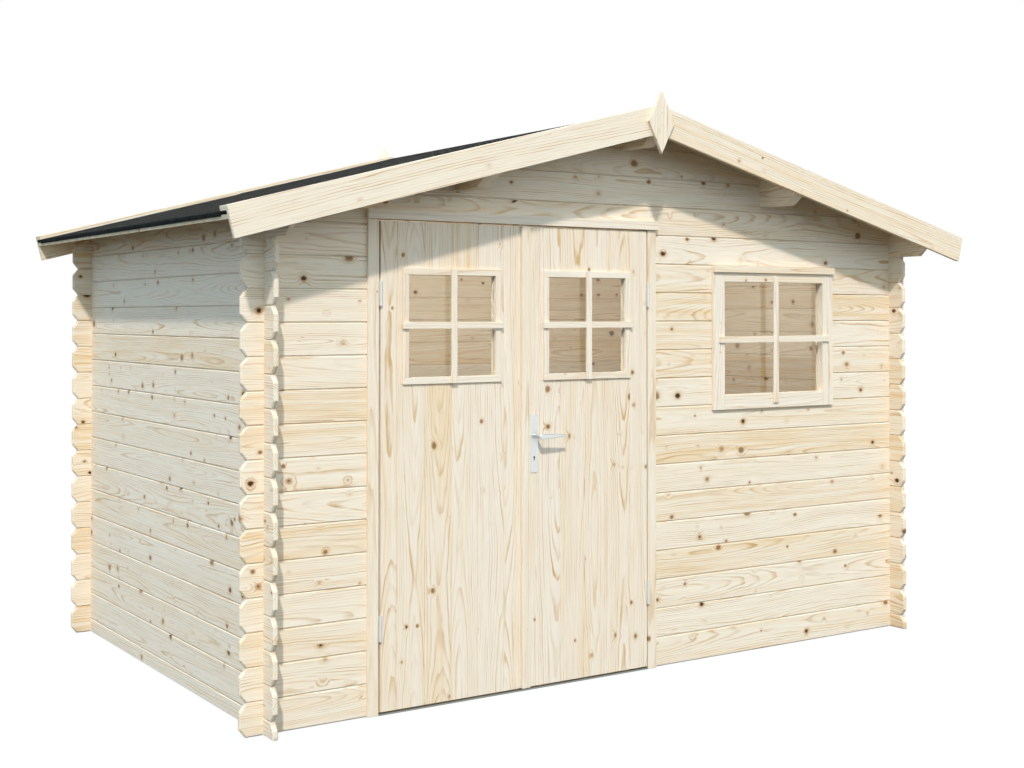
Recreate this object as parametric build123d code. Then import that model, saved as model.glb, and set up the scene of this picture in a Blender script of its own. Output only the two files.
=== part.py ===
"""Garden shed of interlocking boards with a double door, one window and a felted gable roof.

Millimetres. The front looks along -Y, +X is to the right seen from the front and +Z is up.
The origin is on the ground, under the middle of the whole shed with its roof.
"""

from build123d import *
from math import cos, radians, sin, tan
import os

# Wall boards
board_height = 114
wall_thickness = 19
wall_width = 3038
wall_depth = 1896
end_projection = 82
end_chamfer_length = 23
end_chamfer_height = 28
lap_share = 0.25
half_board_share = 0.5

# Roof
roof_pitch = 14.67
wall_plate_height = 97
eave_overhang = 209
front_overhang = 201
back_overhang = 66
roof_board_thickness = 15
felt_thickness = 3
bargeboard_thickness = 16
bargeboard_drop = 64
bargeboard_rise = 27.5
verge_cap_thickness = 16.5
verge_cap_depth = 65
mitre_gap = 1
finial_height = 238
finial_width = 124
finial_thickness = 16
finial_drop = 68

# Purlins and the bevels under their ends
ridge_purlin_width = 56
ridge_purlin_height = 107
side_purlin_width = 56
side_purlin_height = 106
side_purlin_offset = 745
purlin_bevel_length = 55
purlin_bevel_height = 40
plate_bevel_length = 30
plate_bevel_height = 28

# Door frame
door_centre = -494
door_opening_width = 1198
door_opening_height = 1730
jamb_width = 42
jamb_lap = 18
frame_proud = 12
frame_inner_thickness = 12
stop_width = 14
stop_gap = 6
head_height = 34
head_web = 16
head_proud = 22
head_end_lap = 5
threshold_height = 6

# Door leaves
leaf_thickness = 19
hinge_gap = 7
meeting_gap = 7
meeting_offset = -10
leaf_floor_gap = 6
leaf_head_gap = 6
ledge_height = 95
ledge_thickness = 19
ledge_inset = 40
brace_width = 80
ledge_foot_inset = 138
ledge_plate_gap = 21
ledge_head_inset = 29
cover_strip_width = 37
cover_strip_thickness = 15

# Windows in the leaves
leaf_window_hinge_inset = 85
leaf_window_meeting_inset = 81.5
ledge_window_gap = 39.5
leaf_trim_width = 24
leaf_trim_lining = 8
leaf_trim_thickness = 8
leaf_glass_recess = 7
glass_thickness = 4

# Window in the front wall
window_centre = 789
window_width = 562
window_height = 465
window_head_drop = 199
window_trim_width = 61
window_lining = 20
window_proud = 14
window_inner_trim = 12
window_glass_recess = 33
drip_board_height = 28
drip_board_thickness = 12
drip_board_rise = 5
drip_board_end_lap = 2

# Butt hinges
hinge_height = 90
hinge_leaf_thickness = 2
hinge_leaf_depth = 22
knuckle_count = 5
knuckle_radius = 5.5
knuckle_clearance = 0.3
pin_radius = 3
pin_clearance = 0.05
knuckle_gap = 0.3
hinge_foot_inset = 291
hinge_head_inset = 253

# Lever handle
plate_strip_gap = 6.5
plate_width = 34
plate_height = 216
plate_thickness = 3
plate_corner = 8
lever_height = 943
plate_drop = 29
key_drop = 80
key_radius = 4
key_slot_width = 4
key_slot_length = 12
spindle_radius = 5
spindle_clearance = 0.05
spindle_hole_radius = 8
lever_gap = 0.3
lever_neck_radius = 8
lever_neck_length = 56
inside_neck_length = 38
lever_length = 118
lever_depth = 10
lever_bar_height = 20
lever_tip_height = 8
lever_edge = 2.5

overrun = 50

# Places that follow from the sizes above
slope = radians(roof_pitch)
half_width = wall_width / 2
inner_half_width = half_width - wall_thickness
front_reach = front_overhang + bargeboard_thickness + finial_thickness
back_reach = back_overhang + bargeboard_thickness + finial_thickness
front_face = front_reach - (front_reach + wall_depth + back_reach) / 2
back_face = front_face + wall_depth
front_inside = front_face + wall_thickness
back_inside = back_face - wall_thickness
roof_front = front_face - front_overhang
roof_back = back_face + back_overhang
door_left = door_centre - door_opening_width / 2
door_right = door_centre + door_opening_width / 2
door_cut_left = door_left - jamb_width + jamb_lap
door_cut_right = door_right + jamb_width - jamb_lap
door_cut_top = door_opening_height + head_web

# The side walls have the fewest boards with which the roof clears the ends of the door head
head_reach = max(-door_left, door_right) + jamb_width + head_end_lap
head_rise = (half_width - head_reach) * tan(slope)
plate_least = door_opening_height + head_height - wall_plate_height - head_rise
side_board_count = int(plate_least / board_height - half_board_share) + 1
gable_split = (int(door_cut_top / board_height) + 1) * board_height
plate_bottom = (side_board_count + half_board_share) * board_height
plate_top = plate_bottom + wall_plate_height
ridge_underside = plate_top + half_width * tan(slope)
gable_board_count = int(ridge_underside / board_height) + 1
eave_x = half_width + eave_overhang
eave_z = plate_top - eave_overhang * tan(slope)
roof_reach = half_width + eave_overhang + overrun

leaf_front = front_face - frame_proud
leaf_back = leaf_front + leaf_thickness
stop_front = leaf_back + stop_gap
frame_back = front_inside + frame_inner_thickness
meeting_x = door_centre + meeting_offset
leaf_bottom = threshold_height + leaf_floor_gap
leaf_top = door_opening_height - leaf_head_gap
left_leaf_span = (door_left + hinge_gap, meeting_x - meeting_gap / 2)
right_leaf_span = (meeting_x + meeting_gap / 2, door_right - hinge_gap)
hinge_heights = (leaf_bottom + hinge_foot_inset, leaf_top - hinge_head_inset)
handle_x = right_leaf_span[0] + cover_strip_width + plate_strip_gap + plate_width / 2
plate_centre_height = lever_height - plate_drop
key_height = lever_height - key_drop
ledge_foot = leaf_bottom + ledge_foot_inset
ledge_middle = plate_centre_height - plate_height / 2 - ledge_plate_gap - ledge_height
ledge_head = leaf_top - ledge_head_inset - ledge_height
leaf_window_insets = leaf_window_hinge_inset + leaf_window_meeting_inset
leaf_window_size = left_leaf_span[1] - left_leaf_span[0] - leaf_window_insets
leaf_window_top = ledge_head - ledge_window_gap

window_left = window_centre - window_width / 2
window_right = window_centre + window_width / 2
window_top = door_opening_height - window_head_drop
window_bottom = window_top - window_height
window_cut_left = window_left - window_lining
window_cut_right = window_right + window_lining
window_cut_bottom = window_bottom - window_lining
window_cut_top = window_top + window_lining
window_front = front_face - window_proud
window_back = front_inside + window_inner_trim

hinge_axis_y = leaf_front - knuckle_radius - knuckle_clearance
left_axis_x = door_left + hinge_gap / 2
right_axis_x = door_right - hinge_gap / 2


def block(x_span, y_span, z_span):
    """Box between two planes on each axis."""
    size = [high - low for low, high in (x_span, y_span, z_span)]
    corner = Pos(x_span[0], y_span[0], z_span[0])
    return corner * Box(*size, align=(Align.MIN, Align.MIN, Align.MIN))


def prism_along_y(points, y_span):
    """Outline in X and Z, carried along Y."""
    outline = Polyline(*[(x, y_span[0], z) for x, z in points], close=True)
    return extrude(make_face(outline), y_span[1] - y_span[0], dir=(0, 1, 0))


def prism_along_x(points, x_span):
    """Outline in Y and Z, carried along X."""
    outline = Polyline(*[(x_span[0], y, z) for y, z in points], close=True)
    return extrude(make_face(outline), x_span[1] - x_span[0], dir=(1, 0, 0))


def prism_along_z(points, z_span):
    """Outline in X and Y, carried along Z."""
    outline = Polyline(*[(x, y, z_span[0]) for x, y in points], close=True)
    return extrude(make_face(outline), z_span[1] - z_span[0], dir=(0, 0, 1))


def mirrored(shape):
    """The same piece on the other side of the ridge."""
    return mirror(shape, about=Plane.YZ)


def slope_point(along, out):
    """Point of the right roof slope: along the underside from the ridge, and out from it."""
    x = along * cos(slope) + out * sin(slope)
    z = ridge_underside - along * sin(slope) + out * cos(slope)
    return x, z


slope_length = eave_x / cos(slope)


def slope_strip(low, high, y_span, ridge_x=0):
    """Strip of the right slope between two distances from the underside, plumb at the ridge."""
    foot = slope_point(slope_length, low)
    tip = slope_point(slope_length, high)
    ridge_low = ridge_underside - ridge_x * tan(slope) + low / cos(slope)
    ridge_high = ridge_underside - ridge_x * tan(slope) + high / cos(slope)
    return prism_along_y([(ridge_x, ridge_low), foot, tip, (ridge_x, ridge_high)], y_span)


def under_roof():
    """All the room under the two slopes of the roof boards."""
    edge_z = ridge_underside - roof_reach * tan(slope)
    outline = [
        (-roof_reach, -overrun),
        (roof_reach, -overrun),
        (roof_reach, edge_z),
        (0, ridge_underside),
        (-roof_reach, edge_z),
    ]
    return prism_along_y(outline, (roof_front - overrun, roof_back + overrun))


def board_end(end, way, bottom, top, chamfer_foot=True):
    """Points up the end of one board, whose corners are cut off, short of the next board's foot."""
    short = end - way * end_chamfer_length
    foot = [(short, bottom), (end, bottom + end_chamfer_height)] if chamfer_foot else [(end, bottom)]
    return foot + [(end, top - end_chamfer_height)]


def gable_outline():
    """Saw-toothed board ends at both corners and boards cut square over the side walls."""
    end = half_width + end_projection
    right = []
    for row in range(side_board_count + 1):
        right += board_end(end, 1, row * board_height, (row + 1) * board_height)
    last = (side_board_count + 1) * board_height
    right += [(end - end_chamfer_length, last), (inner_half_width, last)]
    right += [(inner_half_width, gable_board_count * board_height)]
    return right + [(-x, z) for x, z in reversed(right)]


def side_laps():
    """Heights that the side walls' boards hold where the two walls cross."""
    spans = [(0, lap_share * board_height)]
    for row in range(1, side_board_count + 1):
        spans.append(((row - lap_share) * board_height, (row + lap_share) * board_height))
    top = (side_board_count + 1 - lap_share) * board_height
    return spans + [(top, gable_board_count * board_height)]


def gable_laps():
    """Heights that the gable walls' boards hold where the two walls cross."""
    rows = range(side_board_count + 1)
    return [((row + lap_share) * board_height, (row + 1 - lap_share) * board_height) for row in rows]


def purlin(x_span, bottom):
    """Purlin under the roof boards with both ends bevelled below."""
    y_span = (roof_front, roof_back)
    bar = block(x_span, y_span, (bottom, ridge_underside + overrun)) & under_roof()
    return bar - end_bevels(x_span, y_span, bottom, purlin_bevel_length, purlin_bevel_height)


def end_bevels(x_span, y_span, bottom, length, height):
    """Wedges that bevel the underside of a bar at both its ends."""
    wide = (x_span[0] - overrun, x_span[1] + overrun)
    front = [(y_span[0], bottom), (y_span[0] + length, bottom), (y_span[0], bottom + height)]
    back = [(y_span[1], bottom), (y_span[1] - length, bottom), (y_span[1], bottom + height)]
    return prism_along_x(front, wide) + prism_along_x(back, wide)


def ridge_purlin():
    half = ridge_purlin_width / 2
    return purlin((-half, half), ridge_underside - ridge_purlin_height)


def right_purlin():
    half = side_purlin_width / 2
    underside = ridge_underside - side_purlin_offset * tan(slope)
    return purlin((side_purlin_offset - half, side_purlin_offset + half), underside - side_purlin_height)


def gable_wall(y_span):
    """Whole gable wall up to the roof, lapped with the side walls and notched for the purlins."""
    wall = prism_along_y(gable_outline(), y_span) & under_roof()
    for low, high in side_laps():
        crossing = block((inner_half_width, half_width), y_span, (low, high))
        wall = wall - crossing - mirrored(crossing)
    return wall - ridge_purlin() - right_purlin() - mirrored(right_purlin())


def side_outline():
    """Saw-toothed ends of the right wall's boards: the lowest board is half as high."""
    sides = []
    for end, way in ((front_face - end_projection, -1), (back_face + end_projection, 1)):
        points = board_end(end, way, 0, half_board_share * board_height, chamfer_foot=False)
        for row in range(side_board_count):
            bottom = (row + half_board_share) * board_height
            points += board_end(end, way, bottom, bottom + board_height)
        sides.append(points + [(end - way * end_chamfer_length, plate_bottom)])
    return sides[0] + list(reversed(sides[1]))


def lap_with_gables(piece):
    """Cut the gable walls' boards out of a piece of the right wall at both corners."""
    x_span = (inner_half_width, half_width)
    for low, high in gable_laps():
        piece = piece - block(x_span, (front_face, front_inside), (low, high))
        piece = piece - block(x_span, (back_inside, back_face), (low, high))
    return piece


def right_wall():
    return lap_with_gables(prism_along_x(side_outline(), (inner_half_width, half_width)))


def right_wall_plate():
    """Top board of the right wall: it runs out under both verges and carries the roof boards."""
    x_span = (inner_half_width, half_width)
    y_span = (roof_front, roof_back)
    plate = block(x_span, y_span, (plate_bottom, plate_top + overrun)) & under_roof()
    plate = lap_with_gables(plate)
    return plate - end_bevels(x_span, y_span, plate_bottom, plate_bevel_length, plate_bevel_height)


def wall_part(wall, x_span, z_span):
    """The boards of a gable wall between two uprights and two heights."""
    deep = (roof_front - overrun, roof_back + overrun)
    return wall & block(x_span, deep, z_span)


def felt():
    """Roofing felt in one sheet over the ridge."""
    low = roof_board_thickness
    high = roof_board_thickness + felt_thickness
    right = slope_strip(low, high, (roof_front, roof_back))
    return right + mirrored(right)


def verge_pair(low, high, y_span):
    """Two like strips that meet over the ridge with a fine gap."""
    right = slope_strip(low, high, y_span, mitre_gap / 2)
    return Compound(children=[right, mirrored(right)])


def finial(y_low):
    """Pointed diamond over the meeting ends of two bargeboards."""
    tip_half = finial_height / 2
    centre = ridge_underside + (bargeboard_rise + verge_cap_thickness) / cos(slope) - finial_drop
    half = finial_width / 2
    outline = [(0, centre - tip_half), (half, centre), (0, centre + tip_half), (-half, centre)]
    return prism_along_y(outline, (y_low, y_low + finial_thickness))


def jamb(edge, way):
    """Channel that clasps the ends of the wall boards, with a stop behind the leaf."""
    outer = edge - way * jamb_width
    web = outer + way * jamb_lap
    stop = edge + way * stop_width
    outline = [
        (outer, leaf_front),
        (edge, leaf_front),
        (edge, stop_front),
        (stop, stop_front),
        (stop, frame_back),
        (outer, frame_back),
        (outer, front_inside),
        (web, front_inside),
        (web, front_face),
        (outer, front_face),
    ]
    return prism_along_z(outline, (0, door_opening_height))


def door_head():
    """Head of the door frame: a proud drip board outside, a lap over the boards and a stop."""
    bottom = door_opening_height
    top = bottom + head_height
    web_span = (door_cut_left, door_cut_right)
    end = jamb_width + head_end_lap
    drip = block((door_left - end, door_right + end), (front_face - head_proud, front_face), (bottom, top))
    lining = block(web_span, (front_face, front_inside), (bottom, bottom + head_web))
    inner = block((door_left - jamb_width, door_right + jamb_width), (front_inside, frame_back), (bottom, top))
    return drip + lining + inner


def threshold():
    return block((door_left, door_right), (leaf_front, stop_front), (0, threshold_height))


def ring(x_span, z_span, width, y_span):
    """Four-sided frame of one width round an opening."""
    outer = block((x_span[0] - width, x_span[1] + width), y_span, (z_span[0] - width, z_span[1] + width))
    through = (y_span[0] - overrun, y_span[1] + overrun)
    return outer - block(x_span, through, z_span)


def window_frame():
    """Trim outside and inside the wall joined by a lining through it."""
    x_span = (window_left, window_right)
    z_span = (window_bottom, window_top)
    outside = ring(x_span, z_span, window_trim_width, (window_front, front_face))
    lining = ring(x_span, z_span, window_lining, (front_face, front_inside))
    inside = ring(x_span, z_span, window_trim_width, (front_inside, window_back))
    return outside + lining + inside


def window_glass():
    low = window_front + window_glass_recess
    return block((window_left, window_right), (low, low + glass_thickness), (window_bottom, window_top))


def drip_board():
    """Board on the window trim that sheds the rain."""
    top = window_top + window_trim_width + drip_board_rise
    end = window_trim_width + drip_board_end_lap
    x_span = (window_left - end, window_right + end)
    return block(x_span, (window_front - drip_board_thickness, window_front), (top - drip_board_height, top))


def leaf_window_spans(way):
    """Clear opening of the square window in the left (-1) or the right (1) leaf."""
    hinge_edge = right_leaf_span[1] if way > 0 else left_leaf_span[0]
    outer = hinge_edge - way * (leaf_window_hinge_inset + leaf_trim_width)
    clear = leaf_window_size - leaf_trim_width * 2
    top = leaf_window_top - leaf_trim_width
    return sorted((outer, outer - way * clear)), (top - clear, top)


def leaf_window_trim(way):
    """Trim on both faces of a leaf, joined by a lining."""
    x_span, z_span = leaf_window_spans(way)
    outside = ring(x_span, z_span, leaf_trim_width, (leaf_front - leaf_trim_thickness, leaf_front))
    lining = ring(x_span, z_span, leaf_trim_lining, (leaf_front, leaf_back))
    inside = ring(x_span, z_span, leaf_trim_width, (leaf_back, leaf_back + leaf_trim_thickness))
    return outside + lining + inside


def leaf_glass(way):
    x_span, z_span = leaf_window_spans(way)
    low = leaf_front + leaf_glass_recess
    return block(x_span, (low, low + glass_thickness), z_span)


def leaf(x_span, way):
    """Boarded leaf with three ledges and a rising brace behind, cut out for its window."""
    panel = block(x_span, (leaf_front, leaf_back), (leaf_bottom, leaf_top))
    opening_x, opening_z = leaf_window_spans(way)
    cut_x = (opening_x[0] - leaf_trim_lining, opening_x[1] + leaf_trim_lining)
    cut_z = (opening_z[0] - leaf_trim_lining, opening_z[1] + leaf_trim_lining)
    panel = panel - block(cut_x, (leaf_front - overrun, leaf_back + overrun), cut_z)
    ledge_x = (x_span[0] + ledge_inset, x_span[1] - ledge_inset)
    ledge_y = (leaf_back, leaf_back + ledge_thickness)
    for bottom in (ledge_foot, ledge_middle, ledge_head):
        panel = panel + block(ledge_x, ledge_y, (bottom, bottom + ledge_height))
    low, high = ledge_x if way < 0 else reversed(ledge_x)
    foot = ledge_foot + ledge_height
    brace = [
        (low, foot),
        (low - way * brace_width, foot),
        (high, ledge_middle),
        (high + way * brace_width, ledge_middle),
    ]
    return panel + prism_along_y(brace, ledge_y)


def right_leaf():
    """Right leaf with a clear hole for the handle's spindle and one for the key."""
    through = (leaf_front - overrun, leaf_back + overrun)
    panel = leaf(right_leaf_span, 1)
    panel = panel - rod_along_y(handle_x, lever_height, spindle_hole_radius, through)
    return panel - rod_along_y(handle_x, key_height, key_radius, through)


def rod_along_y(x, z, radius, y_span):
    """Round bar along Y."""
    start = Plane((x, y_span[0], z), x_dir=(1, 0, 0), z_dir=(0, 1, 0))
    return extrude(start * Circle(radius), y_span[1] - y_span[0])


def rod_along_z(x, y, radius, z_span):
    """Round bar along Z."""
    return extrude(Plane((x, y, z_span[0])) * Circle(radius), z_span[1] - z_span[0])


def handle_plates():
    """Plate with rounded corners on each face of the leaf, bored for the spindle and the key."""
    plates = []
    for low in (leaf_front - plate_thickness, leaf_back):
        y_span = (low, low + plate_thickness)
        start = Plane((handle_x, low, plate_centre_height), x_dir=(1, 0, 0), z_dir=(0, 1, 0))
        plate = extrude(start * RectangleRounded(plate_width, plate_height, plate_corner), plate_thickness)
        plate = plate - rod_along_y(handle_x, lever_height, spindle_radius + spindle_clearance, y_span)
        plate = plate - rod_along_y(handle_x, key_height, key_radius, y_span)
        slot_half = key_slot_width / 2
        slot_x = (handle_x - slot_half, handle_x + slot_half)
        plate = plate - block(slot_x, y_span, (key_height - key_slot_length, key_height))
        plates.append(plate)
    return Compound(children=plates)


def lever_arm(y_low):
    """Round-ended bar of a lever that tapers to its tip."""
    reach = lever_length - (lever_bar_height + lever_tip_height) / 2
    start = Plane((handle_x, y_low, lever_height), x_dir=(1, 0, 0), z_dir=(0, 1, 0))
    rounds = [Circle(lever_bar_height / 2).edge(), (Pos(reach, 0) * Circle(lever_tip_height / 2)).edge()]
    bar = extrude(start * make_hull(rounds), lever_depth)
    return chamfer(bar.faces().filter_by(Axis.Y).edges(), lever_edge)


def door_lever():
    """Outside and inside levers on one spindle."""
    outer = leaf_front - plate_thickness - lever_gap
    inner = leaf_back + plate_thickness + lever_gap
    lever = rod_along_y(handle_x, lever_height, spindle_radius, (outer, inner))
    lever += rod_along_y(handle_x, lever_height, lever_neck_radius, (outer - lever_neck_length, outer))
    lever += rod_along_y(handle_x, lever_height, lever_neck_radius, (inner, inner + inside_neck_length))
    lever += lever_arm(outer - lever_neck_length)
    lever += lever_arm(inner + inside_neck_length - lever_depth)
    return lever


def knuckle_spans(centre):
    """Heights of a hinge's knuckles from its foot up: every second one belongs to the jamb."""
    foot = centre - hinge_height / 2
    pitch = hinge_height / knuckle_count
    return [(foot + i * pitch, foot + (i + 1) * pitch - knuckle_gap) for i in range(knuckle_count)]


def hinge_half(axis_x, face_x, knuckles, z_span):
    """Flap let against the wood at face_x, with the knuckles that it carries round the pin."""
    flap_x = face_x + (hinge_leaf_thickness if face_x < axis_x else -hinge_leaf_thickness)
    x_span = sorted((face_x, flap_x))
    flap_end = hinge_axis_y + hinge_leaf_depth
    half = block(x_span, (leaf_front, flap_end), z_span)
    for span in knuckles:
        half += block(x_span, (hinge_axis_y, flap_end), span)
        half += rod_along_z(axis_x, hinge_axis_y, knuckle_radius, span)
    return half


def jamb_hinges(axis_x, face_x):
    """Fixed halves of a leaf's two hinges, with their pins."""
    halves = []
    for centre in hinge_heights:
        knuckles = knuckle_spans(centre)
        z_span = (knuckles[0][0], knuckles[-1][1])
        half = hinge_half(axis_x, face_x, knuckles[::2], z_span)
        halves.append(half + rod_along_z(axis_x, hinge_axis_y, pin_radius, z_span))
    return Compound(children=halves)


def leaf_hinges(axis_x, face_x):
    """Moving halves of a leaf's two hinges, bored for the pins."""
    halves = []
    for centre in hinge_heights:
        knuckles = knuckle_spans(centre)
        z_span = (knuckles[0][0], knuckles[-1][1])
        half = hinge_half(axis_x, face_x, knuckles[1::2], z_span)
        halves.append(half - rod_along_z(axis_x, hinge_axis_y, pin_radius + pin_clearance, z_span))
    return Compound(children=halves)


def cover_strip():
    """Upright strip over the meeting edges, fixed on the right leaf."""
    x_span = (right_leaf_span[0], right_leaf_span[0] + cover_strip_width)
    return block(x_span, (leaf_front - cover_strip_thickness, leaf_front), (leaf_bottom, leaf_top))


front_wall = gable_wall((front_face, front_inside))
back_wall = gable_wall((back_inside, back_face))
wall_end = half_width + end_projection + overrun
wall_top = gable_board_count * board_height
roof_span = (roof_front, roof_back)
roof_low = (0, roof_board_thickness)
cap_low = bargeboard_rise
cap_high = bargeboard_rise + verge_cap_thickness
barge_front = (roof_front - bargeboard_thickness, roof_front)
barge_back = (roof_back, roof_back + bargeboard_thickness)

nodes = {
    "front_wall_left": wall_part(front_wall, (-wall_end, door_cut_left), (0, gable_split)),
    "front_wall_over_door": wall_part(front_wall, (door_cut_left, door_cut_right), (door_cut_top, gable_split)),
    "front_wall_middle": wall_part(front_wall, (door_cut_right, window_cut_left), (0, gable_split)),
    "front_wall_below_window": wall_part(
        front_wall, (window_cut_left, window_cut_right), (0, window_cut_bottom)
    ),
    "front_wall_over_window": wall_part(
        front_wall, (window_cut_left, window_cut_right), (window_cut_top, gable_split)
    ),
    "front_wall_right": wall_part(front_wall, (window_cut_right, wall_end), (0, gable_split)),
    "front_gable": wall_part(front_wall, (-wall_end, wall_end), (gable_split, wall_top)),
    "back_wall": wall_part(back_wall, (-wall_end, wall_end), (0, gable_split)),
    "back_gable": wall_part(back_wall, (-wall_end, wall_end), (gable_split, wall_top)),
    "left_wall": mirrored(right_wall()),
    "right_wall": right_wall(),
    "left_wall_plate": mirrored(right_wall_plate()),
    "right_wall_plate": right_wall_plate(),
    "ridge_purlin": ridge_purlin(),
    "left_purlin": mirrored(right_purlin()),
    "right_purlin": right_purlin(),
    "left_roof_boards": mirrored(slope_strip(*roof_low, roof_span)),
    "right_roof_boards": slope_strip(*roof_low, roof_span),
    "roof_felt": felt(),
    "front_bargeboards": verge_pair(-bargeboard_drop, bargeboard_rise, barge_front),
    "back_bargeboards": verge_pair(-bargeboard_drop, bargeboard_rise, barge_back),
    "front_verge_caps": verge_pair(cap_low, cap_high, (barge_front[0], barge_front[0] + verge_cap_depth)),
    "back_verge_caps": verge_pair(cap_low, cap_high, (barge_back[1] - verge_cap_depth, barge_back[1])),
    "front_finial": finial(barge_front[0] - finial_thickness),
    "back_finial": finial(barge_back[1]),
    "left_door_jamb": jamb(door_left, 1),
    "right_door_jamb": jamb(door_right, -1),
    "door_head": door_head(),
    "door_threshold": threshold(),
    "window_frame": window_frame(),
    "window_drip_board": drip_board(),
    "window_glass": window_glass(),
    "left_jamb_hinges": jamb_hinges(left_axis_x, door_left),
    "right_jamb_hinges": jamb_hinges(right_axis_x, door_right),
    "left_door_leaf": leaf(left_leaf_span, -1),
    "left_door_window_trim": leaf_window_trim(-1),
    "left_door_glass": leaf_glass(-1),
    "left_door_hinges": leaf_hinges(left_axis_x, left_leaf_span[0]),
    "right_door_leaf": right_leaf(),
    "right_door_window_trim": leaf_window_trim(1),
    "right_door_glass": leaf_glass(1),
    "right_door_hinges": leaf_hinges(right_axis_x, right_leaf_span[1]),
    "door_cover_strip": cover_strip(),
    "handle_plates": handle_plates(),
    "door_lever": door_lever(),
}

os.makedirs("parts", exist_ok=True)
for name, shape in nodes.items():
    export_step(shape, f"parts/{name}.step")
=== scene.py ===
import bmesh
import bpy
import math
import random
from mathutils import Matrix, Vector


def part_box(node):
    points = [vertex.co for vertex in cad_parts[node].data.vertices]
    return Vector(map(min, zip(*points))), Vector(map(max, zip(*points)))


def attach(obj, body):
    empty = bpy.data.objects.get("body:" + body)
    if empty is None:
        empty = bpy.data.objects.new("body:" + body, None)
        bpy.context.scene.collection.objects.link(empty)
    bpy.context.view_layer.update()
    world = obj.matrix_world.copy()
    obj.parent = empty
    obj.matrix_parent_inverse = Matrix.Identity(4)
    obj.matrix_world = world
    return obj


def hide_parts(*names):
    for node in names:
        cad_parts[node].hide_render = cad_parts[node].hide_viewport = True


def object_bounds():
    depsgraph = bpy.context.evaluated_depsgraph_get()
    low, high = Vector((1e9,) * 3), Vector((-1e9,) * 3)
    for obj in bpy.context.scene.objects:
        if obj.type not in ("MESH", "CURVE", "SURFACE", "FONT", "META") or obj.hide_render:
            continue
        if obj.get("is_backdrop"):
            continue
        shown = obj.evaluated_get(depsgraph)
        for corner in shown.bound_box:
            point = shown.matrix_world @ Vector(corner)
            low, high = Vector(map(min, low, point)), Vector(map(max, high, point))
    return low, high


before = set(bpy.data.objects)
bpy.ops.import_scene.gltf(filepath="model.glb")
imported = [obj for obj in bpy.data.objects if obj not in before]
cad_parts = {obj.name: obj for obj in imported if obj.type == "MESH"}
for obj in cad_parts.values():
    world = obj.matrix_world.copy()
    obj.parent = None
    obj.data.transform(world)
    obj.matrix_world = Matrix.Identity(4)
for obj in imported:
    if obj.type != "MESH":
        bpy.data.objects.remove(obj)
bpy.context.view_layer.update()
scene = bpy.context.scene
scene.view_settings.view_transform = "Standard"
xAxis, yAxis, zAxis = Vector((1, 0, 0)), Vector((0, 1, 0)), Vector((0, 0, 1))
print("frame loaded:", len(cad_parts), "nodes")


def toLinear(hexColour):
    channels = [int(hexColour[i:i + 2], 16) / 255 for i in (1, 3, 5)]
    return [c / 12.92 if c <= 0.04045 else ((c + 0.055) / 1.055) ** 2.4 for c in channels] + [1.0]


# Adds a node, sets what settings name, fills its inputs with values or links and gives back its outputs
def addNode(tree, kind, inputs=(), **settings):
    node = tree.nodes.new(kind)
    for key, value in settings.items():
        setattr(node, key, value)
    for key, value in inputs.items() if isinstance(inputs, dict) else enumerate(inputs):
        if isinstance(value, bpy.types.NodeSocket):
            tree.links.new(value, node.inputs[key])
        else:
            node.inputs[key].default_value = value
    return node.outputs


def newTree(name):
    material = bpy.data.materials.new(name)
    material.use_nodes = True
    material.node_tree.nodes.clear()
    return material, material.node_tree


# Softwood: sizes in metres of what the eye sees on a board.
# A range takes the span of its first two values to the span of its last two
spruceFigure = {
    "ringWidth": 0.0066,  # real rings are 2 to 4 mm, drawn coarser so that they show at this distance
    "stray": (1.25, 0.42),  # how slowly the pith strays along and across a board
    "strayAcross": 0.034,
    "strayDeep": 0.082,
    "ripple": (0.13, 0.028),  # small irregular bends of the rings
    "rippleSize": 0.0062,
    "lateStart": 0.50,  # share of a year after which late wood darkens
    "latePeak": 0.90,
    "yearRange": (0.0, 1.0, 0.10, 1.0),  # some years leave only a faint line
    "yearStep": 97.0,  # sets the years of one board apart from those of the next
    "fade": (0.22, 0.030),  # lines that fade out and come back
    "fadeRange": (0.36, 0.64, 0.22, 1.25),
    "fibre": (0.11, 0.0046),  # fibres are finer than a pixel, drawn coarser to show
    "fibreRange": (0.25, 0.75, 0.915, 1.045),
    "tone": (0.70, 0.024),  # slow changes of colour along a board
    "toneRange": (0.34, 0.70, 0.12, 1.0),
    "boardSkew": 1.7,  # few boards blush strongly
    "boardRange": (0.0, 1.0, 0.18, 1.0),
    "knotSpacing": (0.13, 0.075, 0.060),
    "knotStray": 0.85,
    "knotShare": 0.40,
    "knotRadius": (0.0047, 0.0115),
    "knotSkew": 2.6,  # most knots are small
    "knotLong": 0.82,
    "knotDepth": 2.2,  # how much longer a knot is into the board than across its face
    "knotRange": (0.3, 0.7, 0.74, 1.30),  # none is quite round
    "coreRange": (0.92, 1.10, 1.0, 0.0),  # from the middle outwards, in radii of the knot
    "rimRange": (1.00, 1.75, 1.0, 0.0),
    "haloRange": (0.8, 3.4, 1.0, 0.0),
    "darkRange": (0.10, 0.42, 0.45, 1.0),  # live knots are paler than dead ones
    "rimShade": 0.70,
    "haloShade": 0.26,
    "push": 1.15,  # how far a knot bends the rings outwards, in its radii
    "jointShade": 0.28,  # painted shade and dust down in the joints
    "jointStart": 0.45,
    "lateProud": 0.6,  # late wood and knots stand a little proud and shine a little more
    "rimProud": 0.8,
    "proud": 0.0006,
    "proudStrength": 0.35,
    "lateShine": -0.12,
    "coreShine": -0.18,
    "specular": 0.30,
}
# Detail and roughness of each noise that is drawn out along the grain
grainNoises = {"stray": (1.0, 0.35), "ripple": (1.5, 0.5), "fade": (2.0, 0.6), "fibre": (2.0, 0.6),
               "tone": (3.0, 0.55)}

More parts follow.
